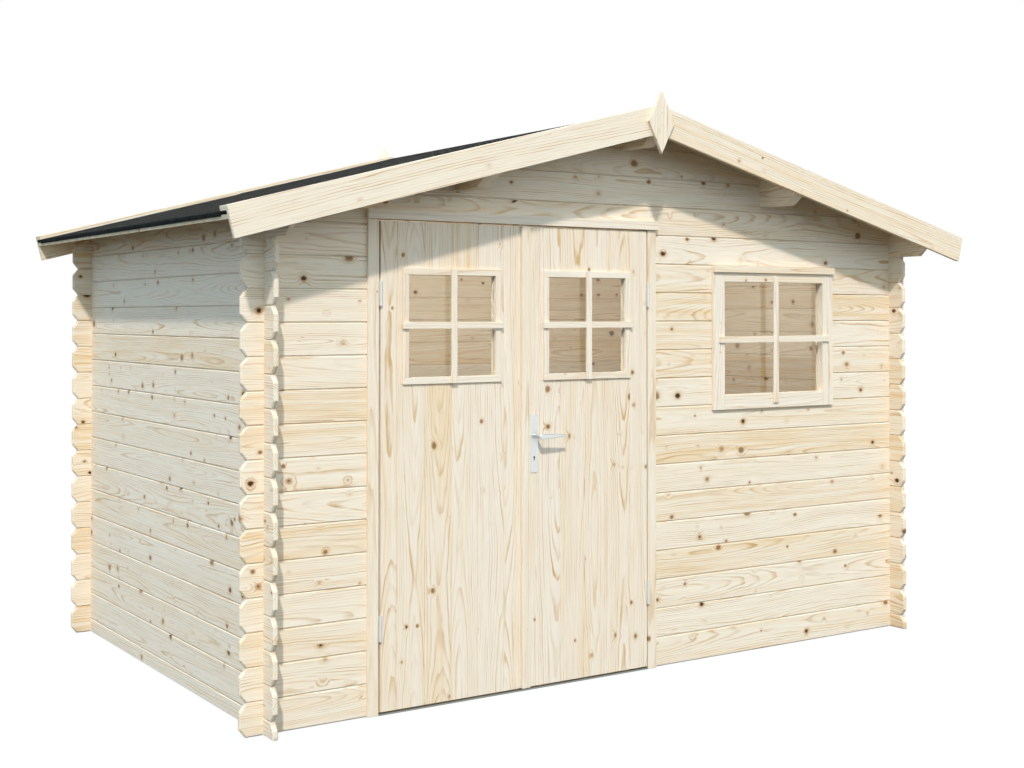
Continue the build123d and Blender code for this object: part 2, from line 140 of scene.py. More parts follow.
# Each use of the wood: early wood, late wood, the blush of some boards, knot rim and knot core
spruceLooks = {
    "planedSpruceWall": {
        "early": "#F5E9D4", "late": "#C3954F", "blush": "#EACB9A", "rim": "#A9742F", "core": "#3E260D",
        "lateShare": 0.82, "blushShare": 0.90, "roughness": 0.62},
    "planedSpruceDoor": {
        "early": "#F3E6D3", "late": "#CA9E58", "blush": "#ECCF9F", "rim": "#AB762F", "core": "#3E260D",
        "lateShare": 0.86, "blushShare": 0.90, "roughness": 0.60, "strayDeep": 0.078, "strayAcross": 0.016,
        "stray": (1.3, 0.5), "jointShade": 0.20, "knotShare": 0.27, "knotRadius": (0.0042, 0.0088)},
    "planedSpruceTrim": {
        "early": "#F3E7D3", "late": "#CDA062", "blush": "#EDD0A5", "rim": "#AB762F", "core": "#452A12",
        "lateShare": 0.62, "blushShare": 0.60, "roughness": 0.58, "strayDeep": 0.045, "stray": (1.7, 0.5),
        "ringWidth": 0.0086, "knotShare": 0.26, "knotRadius": (0.0030, 0.0070)},
    "planedSpruceVerge": {
        "early": "#F3E6CF", "late": "#C18A47", "blush": "#EBCB9A", "rim": "#A9742F", "core": "#3E260D",
        "lateShare": 0.92, "blushShare": 0.66, "roughness": 0.58, "strayDeep": 0.060, "stray": (1.5, 0.5),
        "ringWidth": 0.0096, "lateStart": 0.58, "knotShare": 0.40, "knotRadius": (0.0030, 0.0068)},
    # sawn boards, darker and yellower than the planed ones: partly their own tone, partly painted shade for
    # the underside under the eaves
    "sawnSpruceRoofPaintedShade": {
        "early": "#DED2B4", "late": "#BB9259", "blush": "#D3B684", "rim": "#A86F38", "core": "#3A2110",
        "lateShare": 0.62, "blushShare": 0.60, "roughness": 0.74},
}


# Untreated softwood off the planer or the saw: pale and matt, with tan late-wood lines,
# dark knots and lines that part round them
def makeSpruce(name, look):
    figure = {**spruceFigure, **look}
    material, tree = newTree(name)
    smooth = {"interpolation_type": "SMOOTHSTEP"}
    grain = addNode(tree, "ShaderNodeAttribute", attribute_name="grain")["Vector"]
    pith = addNode(tree, "ShaderNodeAttribute", attribute_name="pith")["Vector"]
    joint = addNode(tree, "ShaderNodeAttribute", attribute_name="joint")["Fac"]
    place = addNode(tree, "ShaderNodeSeparateXYZ", (grain,))
    heart = addNode(tree, "ShaderNodeSeparateXYZ", (pith,))
    noise = {}
    for key, (detail, rough) in grainNoises.items():
        long, wide = figure[key]
        stretch = (1 / long, 1 / wide, 1 / wide)
        at = addNode(tree, "ShaderNodeVectorMath", (grain, stretch), operation="MULTIPLY")[0]
        grainNoise = {"Vector": at, "Scale": 1.0, "Detail": detail, "Roughness": rough}
        noise[key] = addNode(tree, "ShaderNodeTexNoise", grainNoise)
    ripple, fibre = noise["ripple"][0], noise["fibre"][0]

    # knots: at most one in each cell of board, some cells without
    along, across, deep = figure["knotSpacing"]
    cells = (1 / along, 1 / across, 1 / deep)
    cell = addNode(tree, "ShaderNodeVectorMath", (grain, cells), operation="MULTIPLY")[0]
    knots = {"Vector": cell, "Scale": 1.0, "Randomness": figure["knotStray"]}
    knots = addNode(tree, "ShaderNodeTexVoronoi", knots, voronoi_dimensions="3D", feature="F1")
    away = addNode(tree, "ShaderNodeVectorMath", (cell, knots["Position"]), operation="SUBTRACT")[0]
    real = (along * figure["knotLong"], across, deep / figure["knotDepth"])
    away = addNode(tree, "ShaderNodeVectorMath", (away, real), operation="MULTIPLY")[0]
    distance = addNode(tree, "ShaderNodeVectorMath", (away,), operation="LENGTH")["Value"]
    chance = addNode(tree, "ShaderNodeSeparateColor", (knots["Color"],))
    there = addNode(tree, "ShaderNodeMath", (chance[0], figure["knotShare"]), operation="LESS_THAN")[0]
    skew = addNode(tree, "ShaderNodeMath", (chance[1], figure["knotSkew"]), operation="POWER")[0]
    radius = addNode(tree, "ShaderNodeMapRange", (skew, 0.0, 1.0, *figure["knotRadius"]))[0]
    reach = addNode(tree, "ShaderNodeMath", (distance, radius), operation="DIVIDE")[0]
    wobble = addNode(tree, "ShaderNodeMapRange", (ripple, *figure["knotRange"]))[0]
    reach = addNode(tree, "ShaderNodeMath", (reach, wobble), operation="MULTIPLY")[0]
    zones = []
    for key in ("coreRange", "rimRange", "haloRange"):
        zone = addNode(tree, "ShaderNodeMapRange", (reach, *figure[key]), **smooth)[0]
        zones.append(addNode(tree, "ShaderNodeMath", (zone, there), operation="MULTIPLY")[0])
    core, rim, halo = zones

    # rings round a pith that strays along the board, rippled a little and bent outwards by each knot
    stray = addNode(tree, "ShaderNodeSeparateColor", (noise["stray"]["Color"],))
    ringAt = []
    for i, key in ((1, "strayAcross"), (2, "strayDeep")):
        swing = (stray[i], figure[key] * 2, place[i])
        swing = addNode(tree, "ShaderNodeMath", swing, operation="MULTIPLY_ADD")[0]
        ringAt.append(addNode(tree, "ShaderNodeMath", (swing, heart[i - 1]), operation="SUBTRACT")[0])
    ringPoint = addNode(tree, "ShaderNodeCombineXYZ", (0.0, *ringAt))[0]
    ringRadius = addNode(tree, "ShaderNodeVectorMath", (ringPoint,), operation="LENGTH")["Value"]
    bulge = addNode(tree, "ShaderNodeMath", (halo, radius), operation="MULTIPLY")[0]
    for part, size in ((ripple, figure["rippleSize"]), (bulge, figure["push"])):
        ringRadius = addNode(tree, "ShaderNodeMath", (part, size, ringRadius), operation="MULTIPLY_ADD")[0]
    rings = addNode(tree, "ShaderNodeMath", (ringRadius, figure["ringWidth"]), operation="DIVIDE")[0]
    phase = addNode(tree, "ShaderNodeMath", (rings,), operation="FRACT")[0]
    year = addNode(tree, "ShaderNodeMath", (rings,), operation="FLOOR")[0]
    year = addNode(tree, "ShaderNodeMath", (heart[2], figure["yearStep"], year), operation="MULTIPLY_ADD")[0]
    season = addNode(tree, "ShaderNodeTexWhiteNoise", {"W": year}, noise_dimensions="1D")["Value"]
    season = addNode(tree, "ShaderNodeMapRange", (season, *figure["yearRange"]))[0]
    start, peak = figure["lateStart"], figure["latePeak"]
    late = addNode(tree, "ShaderNodeMapRange", (phase, start, peak, 0.0, 1.0), **smooth)[0]
    fall = addNode(tree, "ShaderNodeMapRange", (phase, peak, 1.0, 1.0, 0.0), **smooth)[0]
    fade = addNode(tree, "ShaderNodeMapRange", (noise["fade"][0], *figure["fadeRange"]))[0]
    for part in (fall, season, fade):
        late = addNode(tree, "ShaderNodeMath", (late, part), operation="MULTIPLY", use_clamp=True)[0]

    # slow changes of tone along the board, boards that blush more than others, fibres, then the knots on top
    tone = addNode(tree, "ShaderNodeMapRange", (noise["tone"][0], *figure["toneRange"]), **smooth)[0]
    board = addNode(tree, "ShaderNodeMath", (heart[2], figure["boardSkew"]), operation="POWER")[0]
    board = addNode(tree, "ShaderNodeMapRange", (board, *figure["boardRange"]))[0]
    blush = addNode(tree, "ShaderNodeMath", (tone, board), operation="MULTIPLY")[0]
    fibreLight = addNode(tree, "ShaderNodeMapRange", (fibre, *figure["fibreRange"]))[0]
    dark = addNode(tree, "ShaderNodeMapRange", (chance[2], *figure["darkRange"]))[0]
    colour = toLinear(figure["early"])
    layers = (("blush", blush, figure["blushShare"]), ("late", halo, figure["haloShade"]),
              ("late", late, figure["lateShare"]), ("rim", rim, figure["rimShade"]), ("core", core, dark))
    for key, mask, share in layers:
        if key == "rim":
            colour = addNode(tree, "ShaderNodeVectorMath", {0: colour, 3: fibreLight}, operation="SCALE")[0]
        share = addNode(tree, "ShaderNodeMath", (mask, share), operation="MULTIPLY")[0]
        mix = {0: share, 6: colour, 7: toLinear(figure[key])}
        colour = addNode(tree, "ShaderNodeMix", mix, data_type="RGBA")[2]
    # painted shade and dust in the joints: darker towards the foot of each vee, where shade falls in the
    # groove
    jointShadeAndDust = (joint, figure["jointStart"], 1.0, 1.0, 1 - figure["jointShade"])
    jointShadeAndDust = addNode(tree, "ShaderNodeMapRange", jointShadeAndDust, **smooth)[0]
    colour = addNode(tree, "ShaderNodeVectorMath", {0: colour, 3: jointShadeAndDust}, operation="SCALE")[0]

    height, rough = fibre, figure["roughness"]
    for part, proud in ((late, figure["lateProud"]), (rim, figure["rimProud"])):
        height = addNode(tree, "ShaderNodeMath", (part, proud, height), operation="MULTIPLY_ADD")[0]
    for part, shine in ((late, figure["lateShine"]), (core, figure["coreShine"])):
        rough = addNode(tree, "ShaderNodeMath", (part, shine, rough), operation="MULTIPLY_ADD")[0]
    bump = {"Strength": figure["proudStrength"], "Distance": figure["proud"], "Height": height}
    bump = addNode(tree, "ShaderNodeBump", bump)[0]
    surface = {"Base Color": colour, "Roughness": rough, "Normal": bump,
               "Specular IOR Level": figure["specular"]}
    surface = addNode(tree, "ShaderNodeBsdfPrincipled", surface)[0]
    addNode(tree, "ShaderNodeOutputMaterial", (surface,))
    return material


wood = {name: makeSpruce(name, look) for name, look in spruceLooks.items()}

feltLook = {
    "ground": "#191B1A", "grit": "#303331", "worn": "#202221", "roughness": 0.95, "specular": 0.02,
    "gritSize": 0.006,  # grit is 1 mm, drawn at 6 mm to show
    "gritRange": (0.45, 1.0), "gritHeight": 0.0012, "gritBump": 0.5,
    "patchSize": 0.35, "patchRange": (0.4, 0.7), "patchDetail": 5.0,
}


# Bitumen felt dressed with slate grit: near black, dull, with a fine sparkle of paler grains
def makeFelt():
    look = feltLook
    material, tree = newTree("slateGritFelt")
    where = addNode(tree, "ShaderNodeTexCoord")["Object"]
    grit = addNode(tree, "ShaderNodeTexVoronoi", {"Vector": where, "Scale": 1 / look["gritSize"]})
    pale = addNode(tree, "ShaderNodeSeparateColor", (grit["Color"],))[0]
    pale = addNode(tree, "ShaderNodeMapRange", (pale, *look["gritRange"]))[0]
    patch = {"Vector": where, "Scale": 1 / look["patchSize"], "Detail": look["patchDetail"]}
    patch = addNode(tree, "ShaderNodeTexNoise", patch)[0]
    patch = addNode(tree, "ShaderNodeMapRange", (patch, *look["patchRange"]))[0]
    colour = toLinear(look["ground"])
    for share, key in ((patch, "worn"), (pale, "grit")):
        mix = {0: share, 6: colour, 7: toLinear(look[key])}
        colour = addNode(tree, "ShaderNodeMix", mix, data_type="RGBA")[2]
    bump = {"Strength": look["gritBump"], "Distance": look["gritHeight"], "Height": grit["Distance"]}
    bump = addNode(tree, "ShaderNodeBump", bump)[0]
    surface = {"Base Color": colour, "Roughness": look["roughness"], "Normal": bump,
               "Specular IOR Level": look["specular"]}
    surface = addNode(tree, "ShaderNodeBsdfPrincipled", surface)[0]
    addNode(tree, "ShaderNodeOutputMaterial", (surface,))
    return material


# Metals: two colours, and fine marks that run along the piece and change its sheen
metalLooks = {
    # bright zinc plate: pale grey with faint crystals and fine scratches
    "zincPlatedSteel": {
        "colours": ("#DBE0DE", "#D0D5D5"), "metallic": 0.75, "roughness": (0.3, 0.7, 0.30, 0.44),
        "crystal": 0.0025, "mark": 0.0015, "markRun": (1.0, 1.0, 0.06), "markDetail": 3.0, "markBump": 0.08},
    # aluminium as it leaves the die, darkened as painted shade under the leaves: grey, with long drawing
    # lines along the bar
    "sillAluminiumWithShade": {
        "colours": ("#9A9F97", "#7E837B"), "metallic": 0.9, "roughness": (0.0, 1.0, 0.32, 0.5),
        "mark": 0.0012, "markRun": (0.02, 1.0, 1.0), "markDetail": 3.0, "markBump": 0.15},
    # painted shade for the keyhole: near black, dull, with a few paler spots
    "keyholePaintedShade": {
        "colours": ("#23211F", "#3A3734"), "metallic": 0.6, "roughness": 0.55,
        "mark": 0.003, "markRun": (1.0, 1.0, 1.0), "markDetail": 2.0, "markBump": 0.1},
}
markDepth = 0.0002


def makeMetal(name, look):
    material, tree = newTree(name)
    where = addNode(tree, "ShaderNodeTexCoord")["Object"]
    along = addNode(tree, "ShaderNodeVectorMath", (where, look["markRun"]), operation="MULTIPLY")[0]
    marks = {"Vector": along, "Scale": 1 / look["mark"], "Detail": look["markDetail"]}
    marks = addNode(tree, "ShaderNodeTexNoise", marks)[0]
    share, rough = marks, look["roughness"]
    if "crystal" in look:
        crystals = addNode(tree, "ShaderNodeTexVoronoi", {"Vector": where, "Scale": 1 / look["crystal"]})
        share = addNode(tree, "ShaderNodeSeparateColor", (crystals["Color"],))[0]
    if isinstance(rough, tuple):  # a range that follows the marks
        rough = addNode(tree, "ShaderNodeMapRange", (marks, *rough))[0]
    first, second = [toLinear(colour) for colour in look["colours"]]
    colour = addNode(tree, "ShaderNodeMix", {0: share, 6: first, 7: second}, data_type="RGBA")[2]
    bump = {"Strength": look["markBump"], "Distance": markDepth, "Height": marks}
    bump = addNode(tree, "ShaderNodeBump", bump)[0]
    surface = {"Base Color": colour, "Metallic": look["metallic"], "Roughness": rough, "Normal": bump}
    surface = addNode(tree, "ShaderNodeBsdfPrincipled", surface)[0]
    addNode(tree, "ShaderNodeOutputMaterial", (surface,))
    return material


glassLook = {"pane": "#F6FAF8", "shadow": "#F2F5F3", "roughness": 0.01, "ior": 1.52,
             "wave": 0.25, "waveDetail": 1.0, "waveDepth": 0.002, "waveBump": 0.02}


# Float glass: clear, with a sharp sheen and a trace of waviness, and it lets lamps through
def makeGlass():
    look = glassLook
    material, tree = newTree("floatGlass")
    where = addNode(tree, "ShaderNodeTexCoord")["Object"]
    wave = {"Vector": where, "Scale": 1 / look["wave"], "Detail": look["waveDetail"]}
    wave = addNode(tree, "ShaderNodeTexNoise", wave)[0]
    bump = {"Strength": look["waveBump"], "Distance": look["waveDepth"], "Height": wave}
    bump = addNode(tree, "ShaderNodeBump", bump)[0]
    pane = {"Base Color": toLinear(look["pane"]), "Roughness": look["roughness"], "IOR": look["ior"],
            "Transmission Weight": 1.0, "Normal": bump}
    pane = addNode(tree, "ShaderNodeBsdfPrincipled", pane)[0]
    clear = addNode(tree, "ShaderNodeBsdfTransparent", {"Color": toLinear(look["shadow"])})[0]
    shadow = addNode(tree, "ShaderNodeLightPath")["Is Shadow Ray"]
    mixed = addNode(tree, "ShaderNodeMixShader", (shadow, pane, clear))[0]
    addNode(tree, "ShaderNodeOutputMaterial", (mixed,))
    return material


felt, glass = makeFelt(), makeGlass()
metal = {name: makeMetal(name, look) for name, look in metalLooks.items()}
zinc, sillMetal = metal["zincPlatedSteel"], metal["sillAluminiumWithShade"]
print("materials made:", len(bpy.data.materials))

# Lengths in metres below which places count as one
same, near, bendLeast, gapLeast, turnLeast = 1e-6, 1e-5, 2e-5, 1e-4, 1e-8
sharpAngle = 0.9  # edges sharper than this, in radians, are eased
pithAcross, pithDeep, grainRun = (-0.035, 0.095), (0.02, 0.17), 60.0  # where a board was sawn from its log


def newStock():
    return {"points": [], "faces": [], "grain": [], "pith": [], "joint": []}


# One board: an outline along and across the grain, given depth, with vee or eased edges, then set in place
def addPlank(stock, outline, depth, place, draw, veeLevels=(), veeSize=0.0, veeFaces=(0, 1), rim=None,
             easeSize=0.0, bend=None):
    bm = bmesh.new()
    front = [bm.verts.new((u, v, 0.0)) for u, v in outline]
    back = [bm.verts.new((u, v, depth)) for u, v in outline]
    bm.faces.new(front)
    bm.faces.new(back[::-1])
    for i in range(len(outline)):
        j = (i + 1) % len(outline)
        bm.faces.new((front[j], front[i], back[i], back[j]))
    bmesh.ops.recalc_face_normals(bm, faces=bm.faces)
    bevel = {"offset_type": "OFFSET", "profile": 0.5, "affect": "EDGES", "clamp_overlap": True}
    if veeSize:
        sides = [(0.0, depth)[k] for k in veeFaces]
        chosen = []
        for edge in bm.edges:
            a, b = edge.verts[0].co, edge.verts[1].co
            level = any(abs(a.y - v) < same and abs(b.y - v) < same for v in veeLevels)
            # ends that stand past a corner
            knob = rim and (max(a.x, b.x) < rim[0] + near or min(a.x, b.x) > rim[1] - near)
            knob = knob and not all(min(abs(p.x - rim[0]), abs(p.x - rim[1])) < near for p in (a, b))
            if (level or knob) and any(abs(a.z - w) < same and abs(b.z - w) < same for w in sides):
                chosen.append(edge)
        if chosen:
            bmesh.ops.bevel(bm, geom=chosen, offset=veeSize, segments=1, **bevel)
    if easeSize:
        sharp = [e for e in bm.edges if e.calc_face_angle(0.0) > sharpAngle]
        bmesh.ops.bevel(bm, geom=sharp, offset=easeSize, segments=2, **bevel)
    origin, uAxis, vAxis, wAxis = place
    mirrored = uAxis.cross(vAxis).dot(wAxis) < 0
    shift = draw.uniform(0.0, grainRun)
    middle = sum(v for u, v in outline) / len(outline)
    heart = (draw.uniform(*pithAcross), draw.uniform(*pithDeep), draw.random())
    start = len(stock["points"])
    bm.verts.index_update()
    for vert in bm.verts:
        u, v, w = bend(*vert.co) if bend else vert.co
        stock["points"].append(origin + uAxis * u + vAxis * v + wAxis * w)
        stock["grain"].append((u + shift, v - middle, w))
        stock["pith"].append(heart)
        # the foot of a vee, not its lip, where the wood is darkened by painted shade and dust
        foot = near < vert.co.z < depth - near and any(abs(vert.co.y - level) < near for level in veeLevels)
        stock["joint"].append(1.0 if foot else 0.0)
    for face in bm.faces:
        ring = [start + v.index for v in face.verts]
        stock["faces"].append(ring[::-1] if mirrored else ring)
    bm.free()


# Closed skin over rings of points that follow each other, with its faces turned round by flip
def addLoft(stock, rings, flip):
    start, count = len(stock["points"]), len(rings[0])
    last = (len(rings) - 1) * count
    faces = [tuple(range(count))[::-1], tuple(range(last, last + count))]
    for a in range(0, last, count):
        for i in range(count):
            j, b = (i + 1) % count, a + count
            faces.append((a + i, a + j, b + j, b + i))
    stock["points"] += [point for ring in rings for point in ring]
    stock["faces"] += [tuple(start + i for i in (face[::-1] if flip else face)) for face in faces]


def box4(u0, u1, v0, v1):
    return [(u0, v0), (u1, v0), (u1, v1), (u0, v1)]


def makePiece(name, stock, material, body, slot, *nodes):
    mesh = bpy.data.meshes.new(name)
    mesh.from_pydata([tuple(p) for p in stock["points"]], [], stock["faces"])
    for key in ("grain", "pith"):
        if stock[key]:
            layer = mesh.attributes.new(key, "FLOAT_VECTOR", "POINT")
            layer.data.foreach_set("vector", [x for row in stock[key] for x in row])
    if stock["joint"]:
        mesh.attributes.new("joint", "FLOAT", "POINT").data.foreach_set("value", stock["joint"])
    mesh.materials.append(material)
    mesh.validate()
    piece = bpy.data.objects.new(name, mesh)
    scene.collection.objects.link(piece)
    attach(piece, body)
    if nodes:
        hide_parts(*nodes)


# Outlines of one row of boards: lowest and highest line along it, split where nothing is left between them
def rowOutlines(breaks, lowAt, highAt):

    def apart(p, q):
        return abs(p[0] - q[0]) > same or abs(p[1] - q[1]) > bendLeast

    outlines, top, foot = [], [], []
    marks = sorted(set(breaks))
    for a, b in zip(marks, marks[1:]):
        if b - a < same * 4:
            continue
        lowA, lowB, highA, highB = lowAt(a + same), lowAt(b - same), highAt(a + same), highAt(b - same)
        if highA - lowA < gapLeast and highB - lowB < gapLeast:
            if top:
                outlines.append((foot, top))
            top, foot = [], []
            continue
        for chain, start, end in ((top, highA, highB), (foot, lowA, lowB)):
            for point in ((a, start), (b, end)):
                if not chain or apart(chain[-1], point):
                    chain.append(point)
    if top:
        outlines.append((foot, top))
    cleaned = []
    for foot, top in outlines:
        ring = foot + top[::-1]
        ring = [p for i, p in enumerate(ring) if apart(p, ring[i - 1])]
        straight = []
        for i, p in enumerate(ring):
            a, b = ring[i - 1], ring[(i + 1) % len(ring)]
            turn = (p[0] - a[0]) * (b[1] - p[1]) - (p[1] - a[1]) * (b[0] - p[0])
            if abs(turn) > turnLeast:
                straight.append(p)
        cleaned.append(straight)
    return cleaned


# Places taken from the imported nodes
frontLow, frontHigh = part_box("front_gable")
backLow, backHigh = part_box("back_gable")
rightLow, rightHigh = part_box("right_wall")
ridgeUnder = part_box("ridge_purlin")[1].z
pitchTan = (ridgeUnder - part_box("right_wall_plate")[1].z) / rightLow.x
pitch = math.atan(pitchTan)
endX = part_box("front_wall_right")[1].x
doorLeft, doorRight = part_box("front_wall_left")[1].x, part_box("front_wall_middle")[0].x
purlins = [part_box(n) for n in ("left_purlin", "ridge_purlin", "right_purlin")]

wallBoards = {
    "height": 0.114,
    "vee": 0.0043,  # chamfer on each long edge
    "lap": 0.25,  # share of the height notched away above and below at a corner
    "endLength": 0.023,
    "endHeight": 0.028,
    "fullRows": 15,
    "rows": 19,
    "seeds": {"front": 21, "back": 22, "left": 23, "right": 24},
}
belowAll, aboveAll = -1.0, 9.0  # heights for cuts that run out at the foot or the top of a wall


def roofUnder(x):
    return ridgeUnder - abs(x) * pitchTan


# What a board loses above and below: the slant of its ends and the notch where it crosses another wall
def endCut(past, crossing):
    slant = wallBoards["endHeight"] * max(past + wallBoards["endLength"], 0.0) / wallBoards["endLength"]
    return slant + (wallBoards["lap"] * wallBoards["height"] if crossing else 0.0)


def gableWall(word, yOut, yIn, openings, *nodes):
    size = wallBoards
    draw, stock = random.Random(size["seeds"][word]), newStock()
    place = (yAxis * yOut, xAxis, zAxis, yAxis if yIn > yOut else -yAxis)
    cuts = openings + [(low.x, high.x, low.z, aboveAll) for low, high in purlins]
    for row in range(size["rows"]):
        low, high = row * size["height"], (row + 1) * size["height"]
        full = row < size["fullRows"]
        reach = endX if full else rightLow.x

        def lost(x):
            return endCut(abs(x) - reach, rightLow.x < abs(x) < rightHigh.x) if full else 0.0

        def lowAt(x):
            sills = [z1 for x0, x1, z0, z1 in cuts if x0 < x < x1 and z0 <= low < z1]
            return max([low + lost(x)] + sills)

        def highAt(x):
            heads = [z0 for x0, x1, z0, z1 in cuts if x0 < x < x1 and low < z0 < high]
            return min([min(high, roofUnder(x)) - lost(x)] + heads)

        marks = [0.0, reach, -reach]
        if full:
            for x in (reach - size["endLength"], rightLow.x, rightHigh.x):
                marks += [x, -x]
        for z in (low, high):
            x = (ridgeUnder - z) / pitchTan
            if x < reach:
                marks += [x, -x]
        marks += [x for cut in cuts for x in cut[:2] if abs(x) < reach]
        for outline in rowOutlines(marks, lowAt, highAt):
            addPlank(stock, outline, abs(yIn - yOut), place, draw, [low, high], size["vee"],
                     rim=(-rightHigh.x, rightHigh.x))
    makePiece(word + "_wall_boards", stock, wood["planedSpruceWall"], "shed", "wall_boards", *nodes)


def sideWall(word, side):
    size = wallBoards
    draw, stock = random.Random(size["seeds"][word]), newStock()
    place = (xAxis * (side * rightHigh.x), yAxis, zAxis, xAxis * -side)
    depth = rightHigh.x - rightLow.x
    levels = [0.0] + [size["height"] * (i + 0.5) for i in range(size["fullRows"])]  # half a board first
    marks = [rightLow.y, rightLow.y + size["endLength"], frontLow.y, frontHigh.y,
             backLow.y, backHigh.y, rightHigh.y - size["endLength"], rightHigh.y]

    def lost(y):
        crossing = frontLow.y < y < frontHigh.y or backLow.y < y < backHigh.y
        return endCut(max(rightLow.y - y, y - rightHigh.y), crossing)

    for low, high in zip(levels, levels[1:]):
        outlines = rowOutlines(marks, lambda y: low + (lost(y) if low else 0.0), lambda y: high - lost(y))
        for outline in outlines:
            addPlank(stock, outline, depth, place, draw, [low, high], size["vee"],
                     rim=(frontLow.y, backHigh.y))
    makePiece(word + "_wall_boards", stock, wood["planedSpruceWall"], "shed", "wall_boards", word + "_wall")


windowLow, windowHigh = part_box("front_wall_below_window"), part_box("front_wall_over_window")
doorHole = (doorLeft, doorRight, belowAll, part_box("front_wall_over_door")[0].z)
windowHole = (windowLow[0].x, windowLow[1].x, windowLow[1].z, windowHigh[0].z)
gableWall("front", frontLow.y, frontHigh.y, [doorHole, windowHole],
          "front_wall_left", "front_wall_over_door", "front_wall_middle", "front_wall_below_window",
          "front_wall_over_window", "front_wall_right", "front_gable")
gableWall("back", backHigh.y, backLow.y, [], "back_wall", "back_gable")
sideWall("left", -1)
sideWall("right", 1)
print("walls boarded")

roofTimber = {"plateBevel": (0.030, 0.028), "purlinBevel": (0.055, 0.040), "seed": 41}


# Purlins and wall plates lie along the shed: outline in length and height, with bevelled ends below
def roofBar(name, node, bevel):
    low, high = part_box(node)
    draw, stock = random.Random(roofTimber["seed"] + len(name)), newStock()
    length, rise = bevel
    outline = [(low.y + length, low.z), (high.y - length, low.z), (high.y, low.z + rise), (high.y, high.z),
               (low.y, high.z), (low.y, low.z + rise)]

    def underRoof(u, v, w):
        return u, min(v, roofUnder(low.x + w)), w

    addPlank(stock, outline, high.x - low.x, (xAxis * low.x, yAxis, zAxis, xAxis), draw, bend=underRoof)
    makePiece(name, stock, wood["planedSpruceWall"], "shed", "roof_timber", node)


for side in ("left", "right"):
    roofBar(side + "_plate_board", side + "_wall_plate", roofTimber["plateBevel"])
    roofBar(side + "_purlin_bar", side + "_purlin", roofTimber["purlinBevel"])
roofBar("ridge_purlin_bar", "ridge_purlin", roofTimber["purlinBevel"])

roofBoards = {"cover": 0.094, "thickness": 0.015, "vee": 0.0015, "seed": 51}
roofLow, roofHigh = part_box("right_roof_boards")
eaveLength = (roofHigh.x - roofBoards["thickness"] * math.sin(pitch)) / math.cos(pitch)
ridgeZone = 0.05  # only points this close to the ridge are cut plumb


# A frame on a slope: along from the ridge, along the shed, and out from the underside
def slopePlace(side):
    down = Vector((side * math.cos(pitch), 0, -math.sin(pitch)))
    up = Vector((side * math.sin(pitch), 0, math.cos(pitch)))
    return zAxis * ridgeUnder, down, yAxis, up


def plumbRidge(u, v, w):
    return (u - w * pitchTan if u < ridgeZone else u), v, w


for side, word in ((-1, "left"), (1, "right")):
    draw, stock = random.Random(roofBoards["seed"] + side), newStock()
    count = round((roofHigh.y - roofLow.y) / roofBoards["cover"])
    step = (roofHigh.y - roofLow.y) / count
    for i in range(count):
        v0, v1 = roofLow.y + i * step, roofLow.y + (i + 1) * step
        levels = [v for v in (v0, v1) if roofLow.y + gapLeast < v < roofHigh.y - gapLeast]
        addPlank(stock, box4(0.0, eaveLength, v0, v1), roofBoards["thickness"], slopePlace(side), draw,
                 levels, roofBoards["vee"], (0,), bend=plumbRidge)
    makePiece(word + "_roof_boarding", stock, wood["sawnSpruceRoofPaintedShade"], "shed", "roof_boards",
              word + "_roof_boards")
print("roof boarded")

# Felt: laid slack in two courses on an under layer, rolled over the ridge and turned down over the eaves
feltSheet = {
    "field": 0.0160,  # height over the boards
    "under": 0.0118,
    "underSeat": 0.0002,
    "seat": 0.0004,
    "roll": 0.002,
    "rollWidth": 0.08,
    "lap": 0.0022,
    "course": 0.96,
    "eaveRoom": 0.012,
    "lipTop": ((-0.004, -0.0030), (0.00175, -0.0055), (0.0025, -0.0095)),  # from the eave and the field
    "lipFoot": ((0.0025, -0.0035), (0.0003, -0.0035), (0.0003, 0.0004)),  # from the eave and the boards
    "wave": 0.00066,
    "phase": (0.0, 6.28),
    "swell": (7.1, 2.3, 5.3),  # wide waves, in radians per metre along the shed, aslant and down the slope
    "crease": (17.0, 9.0),  # finer ones, along the shed and down the slope
    "creaseShare": 0.5,
    "capGap": 0.0006,
    "steps": 48,
    "lengths": 26,
    "seed": 61,
}


# Closed sheet from a line of (along, out, free to wave) points, carried along the shed between two ends
def addSheet(stock, side, line, vLow, vHigh, lengths, wave, draw):
    origin, down, along, up = slopePlace(side)
    # the spare draw keeps the sheets that follow as they are
    first, second, third, spare = [draw.uniform(*feltSheet["phase"]) for i in range(4)]
    (swellLong, slant, swellDown), (creaseLong, creaseDown) = feltSheet["swell"], feltSheet["crease"]
    rings = []
    for j in range(lengths + 1):
        v = vLow + (vHigh - vLow) * j / lengths
        ring = []
        for u, w, free in line:
            sway = math.sin(v * swellLong + first + u * slant) * math.sin(u * swellDown + second)
            sway += feltSheet["creaseShare"] * math.sin(v * creaseLong + u * creaseDown + third)
            lift = w + (wave * sway if free and 0 < j < lengths else 0.0)
            shifted = u - lift * pitchTan if u <= 0 else u
            ring.append(origin + down * shifted + along * v + up * lift)
        rings.append(ring)
    addLoft(stock, rings, side > 0)


